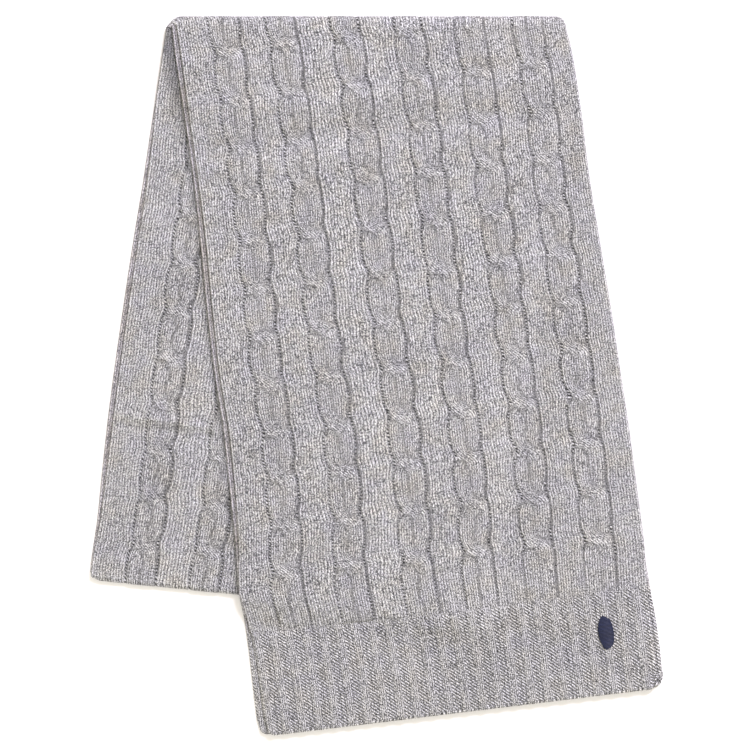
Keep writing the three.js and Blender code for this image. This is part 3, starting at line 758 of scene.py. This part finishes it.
# The yarn. Noise scales are cells in a metre, so fibres are flecks of 0.87 mm, blotches are 13 mm
# and the drift is 59 mm. Real fibres are far finer than a pixel of the photograph, so the flecks
# and the stitches are drawn as coarse as they have to be to show
yarn = {
    "wobble": 260,  # what sets stitches out of line
    "fibres": 1150,
    "blotches": 75,
    "drift": 17,
    "hue": 70,
    "strands": 9,  # plies in the width of a stitch
    "legSlope": 1.4,  # how steep the legs of a V are, in courses
    "legWeight": 0.1,
    "fibreWeight": 3.6,
    "strandWeight": 0.5,
    "blotchWeight": 0.15,
    "driftWeight": 0.2,
    "middle": 0.55,  # share of the pale fibres
    "warmShare": 0.55,
    "coolShare": 0.4,
    "cool": "#edecfc",
    # Painted shade between two stitches, and a painted highlight on what stands proud
    "knitGapShade": 0.17,  # brightness left between two stitches
    "ridgeLight": 1.08,  # brightness of what stands proud
    "fuzz": 0.5,
    "roughness": 0.92,
    "specular": 0.2,
    "sheen": 0.25,
}


def heatherWool(name, look):
    # Knit in V-shaped stitches, with purl rungs, from yarn of light and dark fibres
    material, tree, calc = emptyMaterial(name)
    place = addNode(tree, "ShaderNodeTexCoord").outputs["Object"]
    field = lambda key: addNode(tree, "ShaderNodeAttribute", attribute_name=key).outputs["Fac"]
    arch = lambda value: calc("SINE", calc("MULTIPLY", value, math.pi))
    varied = lambda value, weight: calc("MULTIPLY", calc("SUBTRACT", value, 0.5), weight)
    between = lambda share, low, high: addNode(
        tree, "ShaderNodeMix", inputs={0: share, 2: low, 3: high}).outputs[0]
    ranged = lambda *values: addNode(tree, "ShaderNodeMapRange", *values).outputs[0]
    multiplied = lambda share, colour, by: addNode(
        tree, "ShaderNodeMix", inputs={0: share, 6: colour, 7: by},
        data_type="RGBA", blend_type="MULTIPLY").outputs[2]

    def noise(scale, detail, **more):
        inputs = {"Vector": place, "Scale": scale, "Detail": detail, **more}
        return addNode(tree, "ShaderNodeTexNoise", inputs=inputs).outputs["Fac"]

    uv = addNode(tree, "ShaderNodeUVMap", uv_map="stitch").outputs[0]
    split = addNode(tree, "ShaderNodeSeparateXYZ", uv)
    u, v = split.outputs[0], split.outputs[1]
    purl, cavity, light = field("purl"), field("cavity"), field("light")

    # Height of the stitches: legs that lean both ways from the middle, or level rungs
    wobble = varied(noise(yarn["wobble"], 1), 0.5)
    fromMiddle = calc("MULTIPLY", calc("ABSOLUTE", calc("SUBTRACT", calc("FRACT", u), 0.5)), 2)
    legRow = calc("ADD", calc("SUBTRACT", v, calc("MULTIPLY", fromMiddle, yarn["legSlope"])), wobble)
    legWidth = calc("POWER", arch(fromMiddle), 0.8)
    knitHeight = calc("MULTIPLY", calc("POWER", arch(calc("FRACT", legRow)), 0.45),
                      calc("ADD", calc("MULTIPLY", legWidth, 0.9), 0.1))
    rungLean = calc("MULTIPLY", calc("FRACT", u), look["rungSlope"])
    rungRow = calc("ADD", calc("ADD", v, rungLean), wobble)
    rungWidth = calc("POWER", arch(calc("FRACT", u)), 0.5)
    rungHeight = calc("MULTIPLY", calc("POWER", arch(calc("FRACT", rungRow)), look["rungPower"]),
                      calc("ADD", calc("MULTIPLY", rungWidth, 0.75), 0.25))
    stitch = between(purl, knitHeight, rungHeight)

    # Tone of the yarn: strands and legs differ, and fibres, blotches and a slow drift cross them
    def cellTone(columns):
        cell = addNode(tree, "ShaderNodeCombineXYZ", calc("FLOOR", calc("MULTIPLY", u, columns)),
                       calc("FLOOR", legRow)).outputs[0]
        return addNode(tree, "ShaderNodeTexWhiteNoise", cell, noise_dimensions="2D").outputs[0]

    fibres = noise(yarn["fibres"], 1, Roughness=0.6)
    tone = varied(cellTone(2), yarn["legWeight"])
    for part, weight in (
        (fibres, yarn["fibreWeight"]),
        (cellTone(yarn["strands"]), yarn["strandWeight"]),
        (noise(yarn["blotches"], 3, Roughness=0.6), yarn["blotchWeight"]),
        (noise(yarn["drift"], 1), yarn["driftWeight"]),
    ):
        tone = calc("ADD", tone, varied(part, weight))
    tone = calc("ADD", calc("MULTIPLY", tone, look["contrast"]), yarn["middle"])
    colour = addNode(tree, "ShaderNodeMix", data_type="RGBA",
                     inputs={0: tone, 6: linear(look["dark"]), 7: linear(look["pale"])}).outputs[2]
    hue = noise(yarn["hue"], 2)
    colour = multiplied(ranged(hue, 0.5, 0.72, 0.0, yarn["warmShare"]), colour, linear(look["warm"]))
    colour = multiplied(ranged(hue, 0.5, 0.3, 0.0, yarn["coolShare"]), colour, linear(yarn["cool"]))

    # Painted shade, multiplied into the colour: light lost between stitches, in hollows of the relief and
    # beside the layer above, with what stands proud painted a little lighter
    gapLight = between(purl, yarn["knitGapShade"], look["rungShade"])
    gapShade = ranged(stitch, 0.0, 0.75, gapLight, 1.0)
    reliefShadeAndHighlight = ranged(cavity, -0.3, 0.55, yarn["ridgeLight"], look["hollowShade"])
    # left is the share of the colour that the painted shade keeps
    left = calc("MULTIPLY", calc("MULTIPLY", gapShade, reliefShadeAndHighlight), light)
    paintedShade = addNode(tree, "ShaderNodeCombineColor", left, left, left).outputs[0]
    colour = multiplied(1.0, colour, paintedShade)

    height = calc("ADD", stitch, varied(fibres, yarn["fuzz"]))
    bump = addNode(tree, "ShaderNodeBump", inputs={
        "Strength": 1.0, "Distance": look["depth"] * mm, "Height": height})
    shader = addNode(tree, "ShaderNodeBsdfPrincipled", inputs={
        "Base Color": colour, "Roughness": yarn["roughness"], "Specular IOR Level": yarn["specular"],
        "Sheen Weight": yarn["sheen"], "Sheen Roughness": 0.5, "Normal": bump.outputs[0]})
    addNode(tree, "ShaderNodeOutputMaterial", shader.outputs[0])
    return material


# Three knits of one yarn. Depth is the stitches' in mm, hollowShade and rungShade are painted shade, the
# brightness left in a hollow of the relief and between two rungs, and a higher rungPower makes a rung
# narrower.
# Cables: to the eye, soft spun wool with pale plies and dotted dark ladders beside them, the ladders sunk in
# the relief and their dark dots painted shade between rungs
cableLook = {
    "pale": "#f3f4f4", "dark": "#57585b", "warm": "#f8f3e6", "contrast": 1, "depth": 1.0,
    "hollowShade": 0.86, "rungSlope": 0.7, "rungPower": 2.4, "rungShade": 0.0,
}
# Rib: to the eye, a firmer and crisper knit, with short slanting dashes between the ribs
ribLook = {
    "pale": "#fdfefe", "dark": "#505154", "warm": "#f8f3ea", "contrast": 1.1, "depth": 1.2,
    "hollowShade": 0.8, "rungSlope": 1.0, "rungPower": 1.3, "rungShade": 0.18,
}
# Plain: to the eye, the wool's dull inner face, seen only as strips in the shade
innerLook = {
    "pale": "#ebe9ec", "dark": "#57565b", "warm": "#eee8da", "contrast": 1, "depth": 1.0,
    "hollowShade": 0.6, "rungSlope": 0.8, "rungPower": 1.3, "rungShade": 0.2,
}
cableWool = heatherWool("heather wool, cable knit", cableLook)
ribWool = heatherWool("heather wool, rib knit", ribLook)
innerWool = heatherWool("heather wool, plain knit", innerLook)


# Thread laid side by side: to the eye, a small glossy patch, ridged across, with painted shade nearly black
# between the threads
satin = {"colour": "#162044", "between": "#05070f", "ridge": 0.3, "roughness": 0.45, "sheen": 0.05}


def satinThread(name):
    material, tree, calc = emptyMaterial(name)
    uv = addNode(tree, "ShaderNodeUVMap", uv_map="thread").outputs[0]
    along = addNode(tree, "ShaderNodeSeparateXYZ", uv).outputs[1]
    ridge = calc("ABSOLUTE", calc("SINE", calc("MULTIPLY", along, math.pi)))
    number = calc("FLOOR", along)
    tone = addNode(tree, "ShaderNodeTexWhiteNoise", inputs={"W": number}, noise_dimensions="1D").outputs[0]
    # Painted shade and highlight: each thread's crest is drawn light and the line between threads nearly
    # black, over a random tone for each thread
    toneAndShade = calc("MULTIPLY_ADD", ridge, 0.6, calc("MULTIPLY_ADD", tone, 0.3, 0.15))
    paint = addNode(tree, "ShaderNodeMix", data_type="RGBA", inputs={
        0: toneAndShade, 6: linear(satin["between"]), 7: linear(satin["colour"])})
    bump = addNode(tree, "ShaderNodeBump", inputs={
        "Strength": 1.0, "Distance": satin["ridge"] * mm, "Height": ridge})
    shader = addNode(tree, "ShaderNodeBsdfPrincipled", inputs={
        "Base Color": paint.outputs[2], "Roughness": satin["roughness"], "Specular IOR Level": 0.35,
        "Sheen Weight": satin["sheen"], "Normal": bump.outputs[0]})
    addNode(tree, "ShaderNodeOutputMaterial", shader.outputs[0])
    return material


navyThread = satinThread("rayon thread, satin stitched")
motifPatch.data.materials.append(navyThread)
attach(motifPatch, "root")

for piece, material, slot, nodes, flat, rests in (
    (frontPanel, cableWool, "cable_knit", ["front_panel"], (0.285, 0.448), ["middleLayer"]),
    (frontHem, ribWool, "rib_knit", ["front_hem"], (0.285, 0.075), ["underHem"]),
    (underHem, ribWool, "rib_knit", ["under_hem"], (0.285, 0.075), ["ground"]),
    (middleLayer, innerWool, "plain_knit", ["inner_layers"], (0.285, 0.438), ["backTail", "ground"]),
    (backTail, cableWool, "cable_knit", ["back_panel"], (0.124, 0.405), ["baseCloth"]),
    (hiddenTail, innerWool, "plain_knit", ["inner_layers"], (0.158, 0.42), ["baseCloth"]),
    (baseCloth, innerWool, "plain_knit", ["inner_layers"], (0.28, 0.4), ["ground"]),
):
    piece.data.materials.append(material)
    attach(piece, "root")
    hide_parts(*nodes)
print("materials set")

# Floor, light and camera
floorMesh = bpy.data.meshes.new("ground")
reach = 2.5  # half the floor's side
floorMesh.from_pydata([(-reach, -reach, 0), (reach, -reach, 0), (reach, reach, 0), (-reach, reach, 0)], [],
                      [(0, 1, 2, 3)])
ground = addObject("ground", floorMesh)

# Without gloss, so that to the eye the scarf lies on plain white with a faint soft shadow
paper = bpy.data.materials.new("white paper, matt")
paper.use_nodes = True
paperShader = paper.node_tree.nodes["Principled BSDF"]
paperShader.inputs["Base Color"].default_value = linear("#fbfbfa")
paperShader.inputs["Roughness"].default_value = 1
paperShader.inputs["Specular IOR Level"].default_value = 0
floorMesh.materials.append(paper)
ground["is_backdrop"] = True


def softLight(name, location, size, power, colour):
    lamp = bpy.data.lights.new(name, "AREA")
    lamp.shape = "DISK"
    lamp.size = size
    lamp.energy = power
    lamp.color = linear(colour)[:3]
    holder = addObject(name, lamp)
    holder.location = location
    direction = -np.array(location, float)
    pitch = math.acos(-direction[2] / np.linalg.norm(direction))
    holder.rotation_euler = (pitch, 0, math.atan2(direction[1], direction[0]) - math.pi / 2)


# A large light from the top right that shows the relief, a weak one against it, and an even sky
lights = {
    "softbox": {"location": (1.1, 2.05, 2.12), "size": 1.3, "power": 116, "colour": "#efebff"},
    "fill": {"location": (-0.5, -1.3, 1.6), "size": 1.6, "power": 14, "colour": "#ffffff"},
}
sky = {"colour": "#fff6e8", "strength": 0.8}
for name, settings in lights.items():
    softLight(name, **settings)
world = bpy.data.worlds.new("studio")
world.use_nodes = True
background = world.node_tree.nodes["Background"]
background.inputs["Color"].default_value = linear(sky["colour"])
background.inputs["Strength"].default_value = sky["strength"]
bpy.context.scene.world = world

# Straight down: the frame is "across" metres wide at the height "level", and x and y are in mm
view = {"height": 2.6, "level": 0.005, "across": 0.5388, "x": 0.94, "y": -2.29, "sensor": 36, "end": 20}
lens = bpy.data.cameras.new("camera")
lens.sensor_width = view["sensor"]
lens.lens = view["sensor"] * (view["height"] - view["level"]) / view["across"]
lens.clip_end = view["end"]
camera = addObject("camera", lens)
camera.location = (view["x"] * mm, view["y"] * mm, view["height"])
bpy.context.scene.camera = camera

print("light and camera set")
bpy.context.scene.view_settings.view_transform = "Standard"

bpy.context.view_layer.update()
visualBounds = [list(corner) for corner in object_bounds()]
print("sizes", cadBounds, visualBounds)
